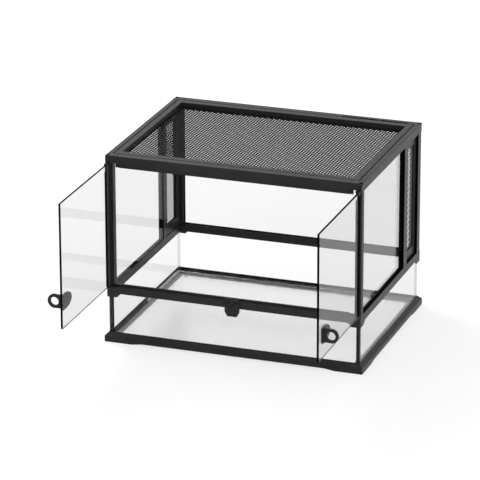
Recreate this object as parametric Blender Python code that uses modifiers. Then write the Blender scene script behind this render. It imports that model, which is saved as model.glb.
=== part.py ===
"""Front-opening glass terrarium with a screen lid, twin swing doors and a push-down latch.

Metres, +Z up. X runs left to right, Y front to back. The part's origin is on the
floor below the middle of the box that the tank and its two open doors fill.
"""
import math

import bmesh
import bpy
from mathutils import Euler, Matrix, Vector

MM = 0.001

# Overall sizes, in millimetres like every size below
WIDTH = 600.0
DEPTH = 452.6
HEIGHT = 445.2
GLASS = 5.0
FIT = 0.3
HAIR = 0.01
FRAME_W = 15.6
PANE_SETBACK = 9.0

# Base frame
BASE_OVER_X = 6.2
BASE_OVER_Y = 4.2
BASE_WALL_H = 14.0
BASE_SHOULDER = 9.15
BASE_LEDGE_Z = 9.4
BASE_OPEN_X = 29.0
BASE_OPEN_Y = 30.0
FOOT_LENGTH = 65.0
FOOT_RAMP = 25.0
FOOT_HEIGHT = 3.5
DRAIN_COUNT = 4
DRAIN_PITCH = 26.4
DRAIN_LENGTH = 14.0
DRAIN_HEIGHT = 6.0
DRAIN_Z = 12.0
DRAIN_FROM_REAR = 10.1
BASE_WALL_T = 2.4
BASE_SHELF_T = 2.4
BASE_PAD = 22.0
RIB_T = 2.0
RIB_PITCH = 68.0
BASE_NOTCH_FROM_LEFT = 50.0
BASE_NOTCH_W = 6.0
BASE_NOTCH_D = 5.0

# Lower tray
TRAY_SETBACK_X = 3.0
TRAY_SETBACK_Y = 5.0
BEAD = 4.5
JOINT = 0.8
GROOVE = 4.3

# Waist frame
WAIST_Z = 117.4
WAIST_H = 17.9
WAIST_LEG = 32.0
WAIST_SKIRT = 9.1
STOP_LIP_H = 3.9
STOP_LIP_T = 4.8

# Posts
POST_LEG = 17.0
POST_CHAMFER = 3.0
POST_FIN_L = 22.0
POST_WEB = 2.3
POST_LIP_T = 1.8
REAR_POST_LEG = 23.4
VENT_BAY_W = 105.1
MID_POST_W = 23.8
MID_POST_WEB = 12.0

# Top frame
TOP_H = 20.4
FRONT_RAIL_H = 18.7
CORNER_H = 19.2
TOP_LEG = 26.5
TOP_SIDE_W = 12.7
TOP_END_W = 19.0
LID_LEDGE_W = 9.3
DOOR_LIP_H = 9.9
SLOT_IN = 14.8
SLOT_W = 5.2
SLOT_FROM_RIGHT = 28.5
SHORT_SLOT_L = 66.0
LONG_SLOT_L = 86.0
SLOT_BRIDGE = 5.3
SLOT_SKIN = 0.4
POCKET_X = 9.0
POCKET_Y = 7.0
POCKET_IN = 2.0
POCKET_DEPTH = 4.2

# Screen lid
LID_H = 13.9
LID_SIDE_W = 15.0
LID_END_W = 18.5
LID_NOTCH_IN = 25.7
LID_NOTCH_L = 6.0
LID_NOTCH_W = 2.6
LID_NOTCH_D = 4.0
MESH_DEPTH = 11.8
MESH_T = 0.8
MESH_EDGE = 2.4
LID_CELLS = (19, 14)
LID_WIRE_W = 5.0

# Side vents
VENT_FRONT_STILE = 8.6
VENT_REAR_STILE = 20.4
VENT_MESH_IN = 1.5
VENT_BOTTOM = 27.0
VENT_TOP = 22.0
VENT_CELLS = (3, 14)
VENT_WIRE_W = 4.0

# Doors
DOOR_GAP = 0.5
DOOR_MEET = 1.0
HINGE_X = 9.25
HINGE_Y = 5.65
REBATE_W = 3.6
REBATE_D = 6.5
STRIP_W = 14.0
STRIP_WALL = 0.8
CAP_L = 12.5
ARM_T = 2.7
ARM_R = 4.2
PIN_R = 1.5
PIN_L = 10.5
PIN_ROOM = 1.5
DOOR_OPEN = 90.0
POCKET_CLEAR = 0.9

# Door handles
HANDLE_IN = 20.4
HANDLE_Z = 191.4
RING_R = 16.5
RING_HOLE_R = 9.7
RING_T = 5.0
RING_CHAMFER = 0.9
RING_OUT = 21.4
PLATE_T = 4.0
PLATE_CHAMFER = 0.8
PAD_T = 0.8
PAD_INSET = 1.2
PLATE_BACK = 8.6
PLATE_STRAIGHT = 9.0
PLATE_LOBE = 33.0
PLATE_HALF_H = 18.3
PLATE_CORNER = 2.5

# Latch
LATCH_W = 34.6
LATCH_LOW = 98.5
LATCH_TOP = 129.0
LATCH_T = 4.0
LATCH_CUT_X = 6.5
LATCH_CUT_Z = 11.5
LATCH_KEY_W = 12.0
LATCH_FLANGE_W = 16.0
LATCH_FLANGE_T = 1.4
LATCH_KEY_TOP = 126.4
LATCH_STEM_W = 8.0
LATCH_HEAD_W = 31.8
LATCH_HEAD_H = 5.5
LATCH_HEAD_GAP = 0.3
LATCH_BUMP_R = 1.5
LATCH_BUMP_X = 6.5
LATCH_BUMP_OUT = 0.6
LATCH_BEVEL = 0.8
LATCH_PACK_IN = 2.0

# Pegs that join the knock-down frame
PEG = 4.0
PEG_L = 8.0
TONGUE_W = 6.0
TONGUE_H = 4.4
TONGUE_L = 14.0
TOP_TONGUE_IN_X = 6.0
TOP_TONGUE_IN_Y = 6.0
TOP_TONGUE_DOWN = 8.7
SIDE_PEG_IN = 4.4
FRONT_PEG_IN_X = 4.4
FRONT_PEG_IN_Y = 14.0
REAR_PEG_IN = 4.6

# Worked out from the sizes above
HALF_X = WIDTH / 2
HALF_Y = DEPTH / 2
WAIST_TOP = WAIST_Z + WAIST_H
TRAY_X = HALF_X - TRAY_SETBACK_X
TRAY_Y = HALF_Y - TRAY_SETBACK_Y
PANE_X = HALF_X - PANE_SETBACK
PANE_Y = HALF_Y - PANE_SETBACK
RAIL_BOTTOM = HEIGHT - TOP_H
CORNER_BOTTOM = HEIGHT - CORNER_H
FRONT_BOTTOM = HEIGHT - FRONT_RAIL_H
LEDGE_Z = HEIGHT - LID_H - FIT
LID_X = HALF_X - TOP_SIDE_W - 2 * FIT
LID_Y = HALF_Y - TOP_END_W - 2 * FIT
MESH_Z = HEIGHT - MESH_DEPTH
MID_POST_Y = HALF_Y - VENT_BAY_W - MID_POST_W
SLOT_Y = HALF_Y - SLOT_IN
LATCH_HEAD_Z = WAIST_TOP + LATCH_HEAD_GAP
AXIS_X = HALF_X - HINGE_X
AXIS_Y = HALF_Y - HINGE_Y
DOOR_BOTTOM = WAIST_TOP + DOOR_GAP
DOOR_TOP = CORNER_BOTTOM - DOOR_GAP
DOOR_EDGE = HALF_X - FRAME_W - FIT
DOOR_FACE = HALF_Y
STRIP_FRONT = DOOR_FACE + FIT + STRIP_WALL
STRIP_BACK = DOOR_FACE - GLASS - FIT - STRIP_WALL
ARM_LIFT = 0.3
ARM_TOP = CORNER_BOTTOM + ARM_T
ARM_BOTTOM = WAIST_TOP - FIT - ARM_T
FRONT_PEG_X = HALF_X - FRONT_PEG_IN_X
FRONT_PEG_Y = HALF_Y - FRONT_PEG_IN_Y
REAR_PEG_X = HALF_X - REAR_PEG_IN
REAR_PEG_Y = HALF_Y - REAR_PEG_IN
TOP_TONGUE_Z = HEIGHT - TOP_TONGUE_DOWN
OPEN_REACH = AXIS_Y + AXIS_X - DOOR_MEET
ORIGIN_Y = (OPEN_REACH - HALF_Y - BASE_OVER_Y) / 2

FRAME_BLACK = ("frame_black", (0.030, 0.030, 0.032, 1), 0.45, 0.0)
CLEAR_GLASS = ("clear_glass", (0.86, 0.92, 0.90, 1), 0.05, 0.0)
MESH_STEEL = ("mesh_steel", (0.10, 0.10, 0.10, 1), 0.45, 0.6)
SEALANT = ("sealant_black", (0.012, 0.012, 0.012, 1), 0.6, 0.0)
PIN_STEEL = ("pin_steel", (0.55, 0.55, 0.57, 1), 0.3, 1.0)


def clear_scene():
    for obj in list(bpy.data.objects):
        bpy.data.objects.remove(obj, do_unlink=True)


def new_collection(name):
    collection = bpy.data.collections.new(name)
    bpy.context.scene.collection.children.link(collection)
    return collection


def material(spec):
    """A Principled material from its name, colour, roughness and metallic value."""
    name, colour, roughness, metallic = spec
    found = bpy.data.materials.get(name)
    if found:
        return found
    made = bpy.data.materials.new(name)
    made.use_nodes = True
    shader = made.node_tree.nodes["Principled BSDF"]
    shader.inputs["Base Color"].default_value = colour
    shader.inputs["Roughness"].default_value = roughness
    shader.inputs["Metallic"].default_value = metallic
    if name == "clear_glass":
        shader.inputs["Transmission Weight"].default_value = 1.0
    return made


def add_object(name, mesh, collection):
    obj = bpy.data.objects.new(name, mesh)
    collection.objects.link(obj)
    return obj


def add_box(bm, low, high):
    """Adds a box between two corners, in millimetres, to a mesh being built."""
    made = bmesh.ops.create_cube(bm, size=1.0)["verts"]
    bmesh.ops.scale(bm, vec=[(h - l) * MM for l, h in zip(low, high)], verts=made)
    bmesh.ops.translate(bm, vec=[(h + l) / 2 * MM for l, h in zip(low, high)], verts=made)


def box_mesh(name, low, high):
    """A box between two corners given in millimetres."""
    bm = bmesh.new()
    add_box(bm, low, high)
    mesh = bpy.data.meshes.new(name)
    bm.to_mesh(mesh)
    bm.free()
    return mesh


def cylinder_mesh(name, radius, length, segments=24, chamfer=0.0):
    """An upright cylinder from the origin to its length, in millimetres, with chamfered rims."""
    bm = bmesh.new()
    bmesh.ops.create_cone(bm, cap_ends=True, segments=segments, radius1=radius * MM,
                          radius2=radius * MM, depth=length * MM)
    if chamfer:
        rims = [e for e in bm.edges if abs(e.verts[0].co.z - e.verts[1].co.z) < length / 2 * MM]
        bmesh.ops.bevel(bm, geom=rims, offset=chamfer * MM, segments=1, affect="EDGES")
    bmesh.ops.translate(bm, vec=(0, 0, length / 2 * MM), verts=bm.verts)
    mesh = bpy.data.meshes.new(name)
    bm.to_mesh(mesh)
    bm.free()
    return mesh


def outline_mesh(name, points, length):
    """A flat closed outline in X and Y, extruded up from Z = 0 by a length."""
    curve = bpy.data.curves.new(name, "CURVE")
    curve.dimensions = "2D"
    curve.fill_mode = "BOTH"
    curve.extrude = length / 2 * MM
    spline = curve.splines.new("POLY")
    spline.points.add(len(points) - 1)
    for point, (x, y) in zip(spline.points, points):
        point.co = (x * MM, y * MM, 0, 1)
    spline.use_cyclic_u = True
    carrier = bpy.data.objects.new(name, curve)
    bpy.context.scene.collection.objects.link(carrier)
    graph = bpy.context.evaluated_depsgraph_get()
    mesh = bpy.data.meshes.new_from_object(carrier.evaluated_get(graph))
    bpy.data.objects.remove(carrier)
    bm = bmesh.new()
    bm.from_mesh(mesh)
    bmesh.ops.remove_doubles(bm, verts=bm.verts, dist=0.01 * MM)
    bmesh.ops.dissolve_limit(bm, angle_limit=0.01, verts=bm.verts, edges=bm.edges)
    bmesh.ops.recalc_face_normals(bm, faces=bm.faces)
    bmesh.ops.translate(bm, vec=(0, 0, length / 2 * MM), verts=bm.verts)
    bm.to_mesh(mesh)
    bm.free()
    mesh.name = name
    return mesh


def chamfer_far_rim(mesh, width):
    """Chamfers the edges round the upper face of an extruded outline."""
    bm = bmesh.new()
    bm.from_mesh(mesh)
    top = max(v.co.z for v in bm.verts) - width / 10 * MM
    rim = [e for e in bm.edges if min(v.co.z for v in e.verts) > top]
    bmesh.ops.bevel(bm, geom=rim, offset=width * MM, segments=1, affect="EDGES")
    bm.to_mesh(mesh)
    bm.free()


def arc(cx, cy, rx, ry, start, end, steps):
    """Points on an ellipse's arc, angles in degrees."""
    points = []
    for i in range(steps + 1):
        a = math.radians(start + (end - start) * i / steps)
        points.append((cx + rx * math.cos(a), cy + ry * math.sin(a)))
    return points


def ordered(a, b):
    """The low and high corners of the box between two points."""
    return [min(p, q) for p, q in zip(a, b)], [max(p, q) for p, q in zip(a, b)]


def around(x, y, width, z0, z1):
    """The corners of a square upright about a vertical line."""
    half = width / 2
    return (x - half, y - half, min(z0, z1)), (x + half, y + half, max(z0, z1))


# Turns an outline drawn in (Y, Z) and extruded along +Z into one that runs along +X
ALONG_X = Matrix(((0, 0, 1, 0), (1, 0, 0, 0), (0, 1, 0, 0), (0, 0, 0, 1)))
# Turns an outline drawn in (X, Z) and extruded along +Z into one that runs along -Y
ALONG_Y = Matrix(((1, 0, 0, 0), (0, 0, -1, 0), (0, 1, 0, 0), (0, 0, 0, 1)))


class Builder:
    """Keeps the collections and makes the named pieces of the part."""

    def __init__(self):
        self.parts = new_collection("terrarium")
        self.cutters = new_collection("cutters")
        self.root = bpy.data.objects.new("tank_origin", None)
        self.parts.objects.link(self.root)
        self.root.location = (0, ORIGIN_Y * MM, 0)

    def piece(self, name, mesh, look, parent=None):
        obj = add_object(name, mesh, self.parts)
        obj.parent = parent or self.root
        mesh.materials.clear()
        mesh.materials.append(material(look))
        return obj

    def cut(self, obj, mesh, operation="DIFFERENCE"):
        """Cuts a mesh out of a piece, or joins it on, in the piece's own frame."""
        tool = add_object(f"cut_{obj.name}_{len(obj.modifiers)}", mesh, self.cutters)
        tool.parent = obj.parent
        tool.hide_render = True
        tool.display_type = "WIRE"
        modifier = obj.modifiers.new("boolean", "BOOLEAN")
        modifier.operation = operation
        modifier.solver = "EXACT"
        modifier.object = tool
        return tool

    def cut_box(self, obj, low, high, operation="DIFFERENCE"):
        return self.cut(obj, box_mesh("box", *ordered(low, high)), operation)

    def cut_pin(self, obj, x, y, z, radius, length, operation="DIFFERENCE"):
        mesh = cylinder_mesh("pin", radius, length)
        mesh.transform(Matrix.Translation((x * MM, y * MM, z * MM)))
        return self.cut(obj, mesh, operation)


def rail_x(build, name, outline, half_length, look=FRAME_BLACK):
    """A rail of constant section along X, its outline drawn in (Y, Z)."""
    mesh = outline_mesh(name, outline, 2 * half_length)
    mesh.transform(ALONG_X)
    mesh.transform(Matrix.Translation((-half_length * MM, 0, 0)))
    return build.piece(name, mesh, look)


def rail_y(build, name, outline, half_length, look=FRAME_BLACK):
    """A rail of constant section along Y, its outline drawn in (X, Z)."""
    mesh = outline_mesh(name, outline, 2 * half_length)
    mesh.transform(ALONG_Y)
    mesh.transform(Matrix.Translation((0, half_length * MM, 0)))
    return build.piece(name, mesh, look)


def mirror_points(points, flip):
    """Mirrors an outline about its first axis, keeping its turning direction."""
    if flip > 0:
        return list(points)
    return [(-a, b) for a, b in reversed(points)]


def post(build, name, outline, low, high, side, look=FRAME_BLACK):
    """An upright of constant section, its outline drawn in (X, Y) for the right side."""
    mesh = outline_mesh(name, mirror_points(outline, side), high - low)
    mesh.transform(Matrix.Translation((0, 0, low * MM)))
    return build.piece(name, mesh, look)


def pane(build, name, low, high, look=CLEAR_GLASS, parent=None):
    return build.piece(name, box_mesh(name, low, high), look, parent)


def base_frame(build):
    """Moulded ring: sloped shoulder, seat for the tray, ribbed underside, feet and raised middles."""
    x = HALF_X + BASE_OVER_X
    y = HALF_Y + BASE_OVER_Y
    top = BASE_WALL_H + BASE_SHOULDER
    obj = build.piece("base_frame", box_mesh("base_frame", (-x, -y, 0), (x, y, top)), FRAME_BLACK)
    weights = obj.data.attributes.new("bevel_weight_edge", "FLOAT", "EDGE")
    for edge in obj.data.edges:
        heights = [obj.data.vertices[i].co.z for i in edge.vertices]
        weights.data[edge.index].value = 1.0 if min(heights) > top / 2 * MM else 0.0
    shoulder = obj.modifiers.new("shoulder", "BEVEL")
    shoulder.limit_method = "WEIGHT"
    shoulder.width = BASE_SHOULDER * MM
    shoulder.segments = 1
    seat_x = TRAY_X + FIT
    seat_y = TRAY_Y + FIT
    build.cut_box(obj, (-seat_x, -seat_y, BASE_LEDGE_Z), (seat_x, seat_y, top + 1))
    open_x = x - BASE_OPEN_X
    open_y = y - BASE_OPEN_Y
    build.cut_box(obj, (-open_x, -open_y, -1), (open_x, open_y, top))
    hollow = BASE_LEDGE_Z - BASE_SHELF_T
    wall_x = x - BASE_WALL_T
    wall_y = y - BASE_WALL_T
    build.cut_box(obj, (-wall_x, -wall_y, -1), (wall_x, wall_y, hollow))
    build.cut(obj, base_ribs(wall_x, wall_y, open_x, open_y, hollow), "UNION")
    for half, other, turn in ((x - FOOT_LENGTH, y, ALONG_Y), (y - FOOT_LENGTH, x, ALONG_X)):
        ramp = [(-half, -1), (half, -1), (half, 0), (half - FOOT_RAMP, FOOT_HEIGHT),
                (FOOT_RAMP - half, FOOT_HEIGHT), (-half, 0)]
        mesh = outline_mesh("relief", ramp, 2 * other + 2)
        mesh.transform(turn)
        reach = (other + 1) * MM
        mesh.transform(Matrix.Translation((0, reach, 0) if turn is ALONG_Y else (-reach, 0, 0)))
        build.cut(obj, mesh)
    for i in range(DRAIN_COUNT):
        build.cut(obj, drain_slot(x, HALF_Y - DRAIN_FROM_REAR - i * DRAIN_PITCH))
    notch = BASE_NOTCH_FROM_LEFT - HALF_X
    build.cut_box(obj, (notch - BASE_NOTCH_W / 2, -y - 1, BASE_WALL_H - BASE_NOTCH_D),
                  (notch + BASE_NOTCH_W / 2, -y + 2, BASE_WALL_H + BASE_NOTCH_D))
    return obj


def base_ribs(wall_x, wall_y, open_x, open_y, hollow):
    """Ribs across the hollow underside of the base, and solid pads in its four corners."""
    bm = bmesh.new()
    sink = BASE_SHELF_T / 2
    half = RIB_T / 2
    count_x = int(open_x // RIB_PITCH)
    count_y = int(open_y // RIB_PITCH)
    for side in (-1, 1):
        for i in range(-count_x, count_x + 1):
            at = i * RIB_PITCH
            near, far = sorted((side * (open_y + half), side * (wall_y + half)))
            add_box(bm, (at - half, near, 0), (at + half, far, hollow + sink))
        for i in range(-count_y, count_y + 1):
            at = i * RIB_PITCH
            near, far = sorted((side * (open_x + half), side * (wall_x + half)))
            add_box(bm, (near, at - half, 0), (far, at + half, hollow + sink))
        for end in (-1, 1):
            x0, x1 = sorted((side * (wall_x + half - BASE_PAD), side * (wall_x + half)))
            y0, y1 = sorted((end * (wall_y + half - BASE_PAD), end * (wall_y + half)))
            add_box(bm, (x0, y0, 0), (x1, y1, hollow + sink))
    mesh = bpy.data.meshes.new("ribs")
    bm.to_mesh(mesh)
    bm.free()
    return mesh


def drain_slot(outer_x, middle_y):
    """An oval hole through the left rail of the base."""
    r = DRAIN_HEIGHT / 2
    straight = DRAIN_LENGTH / 2 - r
    oval = arc(middle_y + straight, DRAIN_Z, r, r, -90, 90, 6)
    oval += arc(middle_y - straight, DRAIN_Z, r, r, 90, 270, 6)
    mesh = outline_mesh("drain", oval, BASE_OVER_X + TRAY_SETBACK_X + 2)
    mesh.transform(ALONG_X)
    mesh.transform(Matrix.Translation(((-outer_x - 1) * MM, 0, 0)))
    return mesh


def tray(build):
    """Floor pane, the four low panes and the sealant that makes the tray watertight."""
    floor_z = BASE_LEDGE_Z + FIT
    pane_top = WAIST_Z + GROOVE - FIT
    inner_x = TRAY_X - GLASS
    inner_y = TRAY_Y - GLASS
    end_y = inner_y - 2 * FIT - JOINT
    pane(build, "floor_glass", (-inner_x + FIT, -inner_y + FIT, floor_z),
         (inner_x - FIT, inner_y - FIT, floor_z + GLASS))
    pane(build, "tray_front_glass", (-TRAY_X, -TRAY_Y, floor_z), (TRAY_X, -inner_y, pane_top))
    pane(build, "tray_rear_glass", (-TRAY_X, inner_y, floor_z), (TRAY_X, TRAY_Y, pane_top))
    pane(build, "tray_left_glass", (-TRAY_X, -end_y, floor_z), (-inner_x, end_y, pane_top))
    pane(build, "tray_right_glass", (inner_x, -end_y, floor_z), (TRAY_X, end_y, pane_top))
    bead_x = inner_x - FIT
    bead_y = inner_y - FIT
    low = floor_z + GLASS + FIT
    section = [(bead_x, low), (bead_x, low + BEAD), (bead_x - BEAD, low)]
    run_y = outline_mesh("bead", section, 2 * bead_y)
    run_y.transform(ALONG_Y)
    run_y.transform(Matrix.Translation((0, bead_y * MM, 0)))
    sealant = build.piece("tray_sealant", run_y, SEALANT)
    left = outline_mesh("bead", mirror_points(section, -1), 2 * bead_y)
    left.transform(ALONG_Y)
    left.transform(Matrix.Translation((0, bead_y * MM, 0)))
    build.cut(sealant, left, "UNION")
    for side in (-1, 1):
        section = [(side * bead_y, low), (side * bead_y, low + BEAD), (side * (bead_y - BEAD), low)]
        run = outline_mesh("bead", section, 2 * bead_x)
        run.transform(ALONG_X)
        run.transform(Matrix.Translation((-bead_x * MM, 0, 0)))
        build.cut(sealant, run, "UNION")
    tall = WAIST_Z - FIT - low
    for sx in (-1, 1):
        for sy in (-1, 1):
            corner = [(sx * TRAY_X, sy * bead_y), (sx * TRAY_X, sy * (bead_y - JOINT)),
                      (sx * bead_x, sy * (bead_y - JOINT)), (sx * bead_x, sy * (bead_y - BEAD)),
                      (sx * (bead_x - BEAD), sy * bead_y)]
            joint = outline_mesh("joint", corner, tall)
            joint.transform(Matrix.Translation((0, 0, low * MM)))
            build.cut(sealant, joint, "UNION")


def waist_rails(build):
    """The frame at mid height: it grips the tray below and carries panes and doors above."""
    tray_out = TRAY_SETBACK_Y - FIT
    groove_w = GLASS + 2 * FIT
    top_out = PANE_SETBACK - FIT
    half_x = HALF_X - WAIST_LEG - FIT
    half_y = HALF_Y - WAIST_LEG - FIT
    y0 = HALF_Y
    y1 = HALF_Y - FRAME_W
    g0 = y0 - tray_out
    g1 = g0 - groove_w
    t0 = y0 - top_out
    t1 = t0 - groove_w
    lip0 = DOOR_FACE - GLASS - FIT
    lip1 = lip0 - STOP_LIP_T
    lip_top = WAIST_TOP + STOP_LIP_H
    low_groove = WAIST_Z + GROOVE
    high_groove = WAIST_TOP - GROOVE
    middle = (WAIST_Z + WAIST_TOP) / 2
    below = [(g0, WAIST_Z), (g0, low_groove), (g1, low_groove), (g1, WAIST_Z), (y1, WAIST_Z)]
    lip = [(lip1, WAIST_TOP), (lip1, lip_top), (lip0, lip_top), (lip0, WAIST_TOP)]
    above = [(t1, WAIST_TOP), (t1, high_groove), (t0, high_groove), (t0, WAIST_TOP)]
    sides = [(y0, WAIST_TOP), (y0, WAIST_Z)]
    front = sides + below + [(y1, WAIST_TOP)] + lip
    rear = sides + below + [(y1, WAIST_TOP)] + above
    for name, outline, way in (("waist_front_rail", front, -1), ("waist_rear_rail", rear, 1)):
        rail = rail_x(build, name, mirror_points(outline, way), half_x)
        mortises(build, rail, True, half_x, way * (HALF_Y - FRAME_W / 2), middle)
    x0 = HALF_X
    x1 = HALF_X - FRAME_W
    g0 = TRAY_X + FIT
    g1 = g0 - groove_w
    t0 = x0 - top_out
    t1 = t0 - groove_w
    side = [(x0, WAIST_TOP), (x0, WAIST_Z), (g0, WAIST_Z), (g0, low_groove), (g1, low_groove), (g1, WAIST_Z),
            (x1, WAIST_Z), (x1, WAIST_TOP), (t1, WAIST_TOP), (t1, high_groove), (t0, high_groove),
            (t0, WAIST_TOP)]
    for name, way in (("waist_left_rail", -1), ("waist_right_rail", 1)):
        rail = rail_y(build, name, mirror_points(side, way), half_y)
        mortises(build, rail, False, half_y, way * (HALF_X - FRAME_W / 2), middle)
        peg(build, rail, way * (HALF_X - SIDE_PEG_IN), MID_POST_Y + MID_POST_W / 2, WAIST_TOP, 1)


def end_chamfer(build, obj, sx, sy, along_x):
    """Cuts the 45 degree corner under the end of a waist block's skirt."""
    leg = WAIST_LEG
    cut = WAIST_SKIRT - FIT
    low = WAIST_Z - WAIST_SKIRT
    if along_x:
        end = HALF_X - leg
        points = [(sx * (end - 1), low - 1), (sx * (end + cut + 1), low - 1), (sx * (end - 1), low + cut + 1)]
        mesh = outline_mesh("chamfer", points, FRAME_W + 4)
        mesh.transform(ALONG_Y)
        reach = HALF_Y + 2 if sy > 0 else -HALF_Y + FRAME_W + 2
        mesh.transform(Matrix.Translation((0, reach * MM, 0)))
    else:
        end = HALF_Y - leg
        points = [(sy * (end - 1), low - 1), (sy * (end + cut + 1), low - 1), (sy * (end - 1), low + cut + 1)]
        mesh = outline_mesh("chamfer", points, FRAME_W + 4)
        mesh.transform(ALONG_X)
        reach = HALF_X - FRAME_W - 2 if sx > 0 else -HALF_X - 2
        mesh.transform(Matrix.Translation((reach * MM, 0, 0)))
    build.cut(obj, mesh)


def peg(build, obj, x, y, z, way):
    """A square peg that stands on a piece at a height, upwards or downwards, to hold a post."""
    build.cut_box(obj, *around(x, y, PEG, z - way, z + way * PEG_L), "UNION")


def tongues(build, obj, sx, sy, leg, in_x, in_y, z):
    """Two tongues on a corner block that slide into the ends of the rails beside it."""
    half_w = TONGUE_W / 2
    z0 = z - TONGUE_H / 2
    z1 = z + TONGUE_H / 2
    x = HALF_X - in_x
    y = HALF_Y - in_y
    end_x = HALF_X - leg
    end_y = HALF_Y - leg
    build.cut_box(obj, (sx * (end_x + 1), sy * (y - half_w), z0),
                  (sx * (end_x - TONGUE_L), sy * (y + half_w), z1), "UNION")
    build.cut_box(obj, (sx * (x - half_w), sy * (end_y + 1), z0),
                  (sx * (x + half_w), sy * (end_y - TONGUE_L), z1), "UNION")


def mortises(build, rail, along_x, half, middle, z):
    """Sockets in both ends of a rail for the corner blocks' tongues."""
    w = TONGUE_W / 2 + FIT
    z0 = z - TONGUE_H / 2 - FIT
    z1 = z + TONGUE_H / 2 + FIT
    for end in (-1, 1):
        deep = end * (half - TONGUE_L)
        out = end * (half + 1)
        if along_x:
            build.cut_box(rail, (deep, middle - w, z0), (out, middle + w, z1))
        else:
            build.cut_box(rail, (middle - w, deep, z0), (middle + w, out, z1))


def waist_block(build, name, sx, sy):
    """A corner of the waist frame: two legs, a skirt over the tray's corner and pane grooves."""
    low = WAIST_Z - WAIST_SKIRT
    ix = HALF_X - WAIST_LEG
    iy = HALF_Y - WAIST_LEG
    obj = build.piece(name, box_mesh(name, *ordered((sx * ix, sy * iy, low),
                                                    (sx * HALF_X, sy * HALF_Y, WAIST_TOP))), FRAME_BLACK)
    inner_x = HALF_X - FRAME_W
    inner_y = HALF_Y - FRAME_W
    build.cut_box(obj, (sx * (ix - 1), sy * (iy - 1), low - 1), (sx * inner_x, sy * inner_y, WAIST_TOP + 1))
    skirt_x = TRAY_X + FIT
    skirt_y = TRAY_Y + FIT
    build.cut_box(obj, (sx * (ix - 2), sy * (iy - 2), low - 2), (sx * skirt_x, sy * skirt_y, WAIST_Z))
    groove_top = WAIST_Z + GROOVE
    inner = GLASS + 2 * FIT
    end_x = skirt_x - inner
    end_y = skirt_y - inner
    build.cut_box(obj, (sx * end_x, sy * (iy - 2), WAIST_Z - 1), (sx * skirt_x, sy * skirt_y, groove_top))
    build.cut_box(obj, (sx * (ix - 2), sy * end_y, WAIST_Z - 1), (sx * skirt_x, sy * skirt_y, groove_top))
    end_chamfer(build, obj, sx, sy, True)
    end_chamfer(build, obj, sx, sy, False)
    groove_low = WAIST_TOP - GROOVE
    pane_x = PANE_X + FIT
    stop_y = HALF_Y - FRAME_W + (POST_WEB if sy < 0 else 0)
    build.cut_box(obj, (sx * (pane_x - inner), sy * (iy - 2), groove_low),
                  (sx * pane_x, sy * stop_y, WAIST_TOP + 1))
    if sy > 0:
        pane_y = PANE_Y + FIT
        build.cut_box(obj, (sx * (ix - 2), pane_y - inner, groove_low),
                      (sx * inner_x, pane_y, WAIST_TOP + 1))
        peg(build, obj, sx * REAR_PEG_X, REAR_PEG_Y, WAIST_TOP, 1)
    else:
        hinge_pocket(build, obj, sx, ix - 1, ARM_BOTTOM - FIT, WAIST_TOP + 1)
        pin_low = WAIST_TOP - PIN_L - PIN_ROOM
        build.cut_pin(obj, sx * AXIS_X, -AXIS_Y, pin_low, PIN_R + FIT, PIN_L + 2 * PIN_ROOM)
        peg(build, obj, sx * FRONT_PEG_X, -FRONT_PEG_Y, WAIST_TOP, 1)
    middle = (WAIST_Z + WAIST_TOP) / 2
    tongues(build, obj, sx, sy, WAIST_LEG, FRAME_W / 2, FRAME_W / 2, middle)
    return obj


def hinge_pocket(build, obj, sx, inner, low, high):
    """The room in the frame where a door's hinge arm and cap swing, open to the front."""
    outer = AXIS_X + ARM_R + POCKET_CLEAR + FIT
    back = AXIS_Y - ARM_R - POCKET_CLEAR
    build.cut_box(obj, (sx * inner, -HALF_Y - 1, low), (sx * outer, -back, high))


def front_post_outline():
    """Section of a front post, right side: chamfered corner, hinge rebate and pane groove."""
    x0 = HALF_X
    y0 = -HALF_Y
    x1 = HALF_X - FRAME_W
    web = y0 + FRAME_W - POST_WEB
    pane_out = PANE_X + FIT
    pane_in = PANE_X - GLASS - FIT
    return [(x0 - POST_CHAMFER, y0), (x0, y0 + POST_CHAMFER), (x0, y0 + POST_LEG), (pane_out, y0 + POST_LEG),
            (pane_out, web), (pane_in, web), (pane_in, y0 + POST_FIN_L), (x1, y0 + POST_FIN_L),
            (x1, y0 + REBATE_D), (x1 + REBATE_W, y0 + REBATE_D), (x1 + REBATE_W, y0)]


def rear_post_outline():
    """Section of a rear post, right side: grooves for the rear pane and the side vent."""
    x0 = HALF_X
    y0 = HALF_Y
    x1 = HALF_X - FRAME_W
    y1 = HALF_Y - FRAME_W
    fin = POST_FIN_L
    inside = PANE_Y - GLASS - FIT
    lip = inside - POST_LIP_T
    return [(x0, y0 - POST_CHAMFER), (x0 - POST_CHAMFER, y0), (x0 - fin, y0), (x0 - fin, PANE_Y + FIT),
            (x1, PANE_Y + FIT), (x1, inside), (x0 - fin, inside), (x0 - fin, lip),
            (x1, lip), (x1, y0 - fin), (PANE_X - GLASS - FIT, y0 - fin), (PANE_X - GLASS - FIT, y1),
            (PANE_X + FIT, y1), (PANE_X + FIT, y0 - REAR_POST_LEG), (x0, y0 - REAR_POST_LEG)]


def mid_post_outline():
    """Section of a side post, right side: a groove for the pane in front, a step for the vent behind."""
    x0 = HALF_X
    out = PANE_X + FIT
    inn = PANE_X - GLASS - FIT
    x1 = HALF_X - FRAME_W
    a = MID_POST_Y
    b = MID_POST_Y + MID_POST_W
    wa = (a + b - MID_POST_WEB) / 2
    wb = (a + b + MID_POST_WEB) / 2
    return [(x0, a), (x0, b), (out, b), (out, wb), (x1, wb), (x1, a), (inn, a), (inn, wa), (out, wa),
            (out, a)]


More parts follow.
